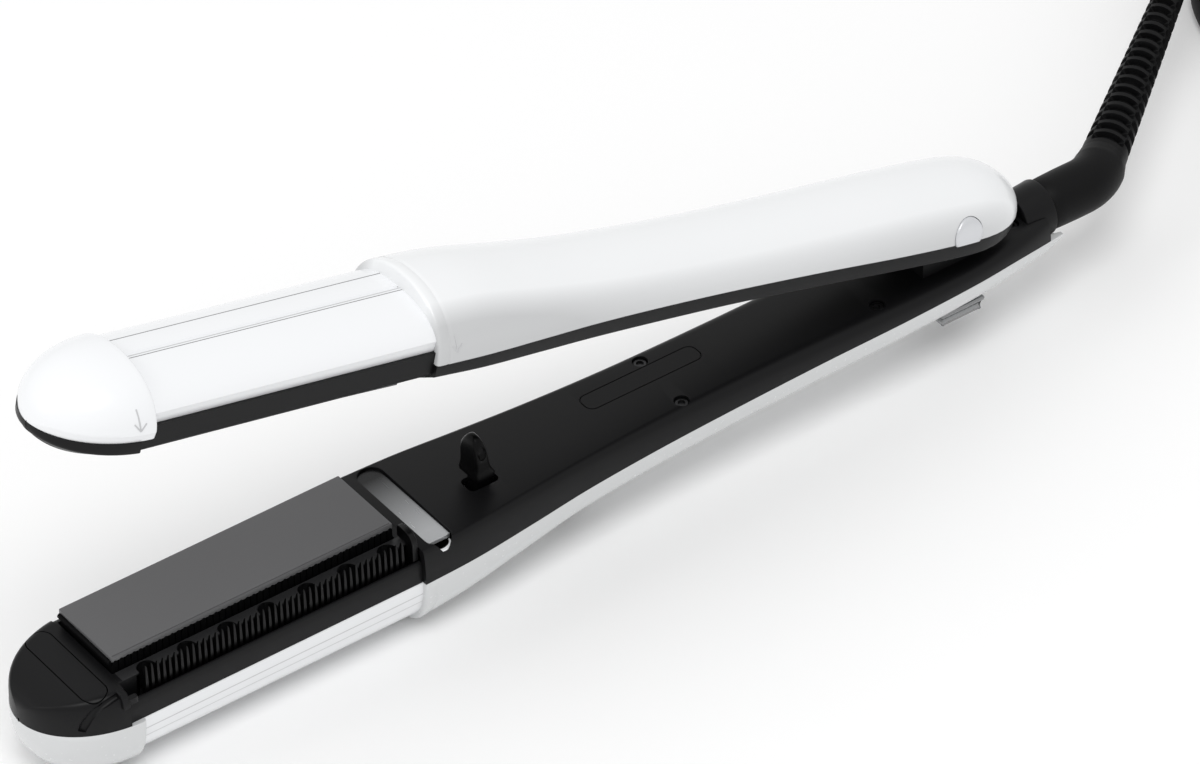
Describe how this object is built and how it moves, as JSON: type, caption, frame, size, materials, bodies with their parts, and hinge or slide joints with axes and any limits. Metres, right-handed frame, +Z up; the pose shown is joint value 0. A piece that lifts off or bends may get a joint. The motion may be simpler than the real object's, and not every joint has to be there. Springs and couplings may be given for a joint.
{
  "type": "steam hair straightener",
  "caption": "Steam hair straightener: two hinged arms with floating heated plates, a lift-out comb, a steam trigger and a swivel cord with a coiled lead.",
  "frame": {"origin": "centre of the flat rest land under the lower tip cap, below the front edge of the heated plates", "axes": "+X along the lower arm from the tip to the cord, +Y across the arm away from the comb, +Z up from the table"},
  "size_m": [0.605, 0.1162, 0.1276],
  "materials": {
    "white_casing": "gloss",
    "black_plastic": "satin",
    "plate_coating": "satin",
    "inner_plastic": "matt",
    "heater_film": "satin",
    "steel": "bright",
    "chrome": "polished",
    "cast_aluminium": "satin",
    "clear_tank": "satin",
    "board": "satin",
    "rubber": "matt",
    "dark_screw": "satin"
  },
  "bodies": {
    "lower_arm": {"lower_outer_shell": "white_casing", "lower_inner_cover": "black_plastic", "lower_barrel": "white_casing", "lower_plate_frame": "black_plastic", "lower_tip_cap": "white_casing", "lower_tip_frame": "black_plastic", "lower_chassis": "inner_plastic", "lower_plate_springs": "steel", "steam_outlet_bar": "black_plastic", "steam_chamber": "cast_aluminium", "heat_strip": "chrome", "trigger_pin": "steel", "pump": "inner_plastic", "steam_pipes": "rubber", "water_tank": "clear_tank", "control_board": "board", "face_screws": "dark_screw", "hinge_bracket": "black_plastic", "hinge_spring": "steel", "cord_socket": "black_plastic"},
    "upper_arm": {"upper_outer_shell": "white_casing", "upper_inner_cover": "black_plastic", "upper_barrel": "white_casing", "upper_plate_frame": "black_plastic", "upper_tip_cap": "white_casing", "upper_tip_frame": "black_plastic", "upper_chassis": "inner_plastic", "upper_plate_springs": "steel", "upper_wiring": "inner_plastic", "hinge_pin": "steel", "hinge_lugs": "steel", "hinge_cap_near": "chrome", "hinge_cap_far": "chrome"},
    "lower_plate_carrier": {"lower_plate": "plate_coating", "lower_heater": "heater_film"},
    "upper_plate_carrier": {"upper_plate": "plate_coating", "upper_heater": "heater_film"},
    "comb_body": {"comb": "black_plastic"},
    "trigger": {"steam_trigger": "black_plastic"},
    "plunger": {"pump_plunger": "inner_plastic"},
    "lock": {"lock_slider": "chrome"},
    "fill_plug": {"tank_plug": "rubber"},
    "swivel_cord": {"swivel_elbow": "rubber", "cord_boot": "rubber", "cord": "rubber", "cord_coil": "rubber", "cord_tail": "rubber", "coil_tie": "rubber", "plug_body": "rubber", "plug_pins": "steel"}
  },
  "joints": [
    {"name": "arm_hinge", "type": "hinge", "parent": "lower_arm", "child": "upper_arm", "pos_m": [0.28, 0, 0.0459], "axis": [0, 1, 0], "range_deg": [-13.9, 0], "stiffness_Nm_per_rad": 1.5, "springref_deg": 20.05},
    {"name": "lower_plate_float", "type": "slide", "parent": "lower_arm", "child": "lower_plate_carrier", "axis": [0, 0, -1], "range_m": [0, 0.001], "stiffness_N_per_m": 2000, "springref_m": -0.001, "deforming": ["lower_plate_springs"]},
    {"name": "upper_plate_float", "type": "slide", "parent": "upper_arm", "child": "upper_plate_carrier", "axis": [0.2412, 0, 0.9705], "range_m": [0, 0.001], "stiffness_N_per_m": 2000, "springref_m": -0.001},
    {"name": "comb_lift", "type": "slide", "parent": "lower_arm", "child": "comb_body", "axis": [0, 0, 1], "range_m": [0, 0.008]},
    {"name": "trigger_press", "type": "hinge", "parent": "lower_arm", "child": "trigger", "pos_m": [0.124, -0.0045, 0.0235], "axis": [0, 1, 0], "range_deg": [-10, 0], "stiffness_Nm_per_rad": 0.1, "springref_deg": 11.46},
    {"name": "plunger_slide", "type": "slide", "parent": "lower_arm", "child": "plunger", "axis": [0, 0, 1], "range_m": [-0.0014, 0]},
    {"name": "lock_slide", "type": "slide", "parent": "lower_arm", "child": "lock", "axis": [-1, 0, 0], "range_m": [0, 0.004]},
    {"name": "fill_plug_pull", "type": "slide", "parent": "lower_arm", "child": "fill_plug", "axis": [0, 0, -1], "range_m": [0, 0.006]},
    {"name": "cord_swivel", "type": "hinge", "parent": "lower_arm", "child": "swivel_cord", "pos_m": [0.318, 0, 0.027], "axis": [1, 0, 0], "range_deg": [-175, 175]}
  ],
  "couplings": [
    {"joint": "plunger_slide", "follows": "trigger_press", "m_per_rad": 0.0075}
  ]
}
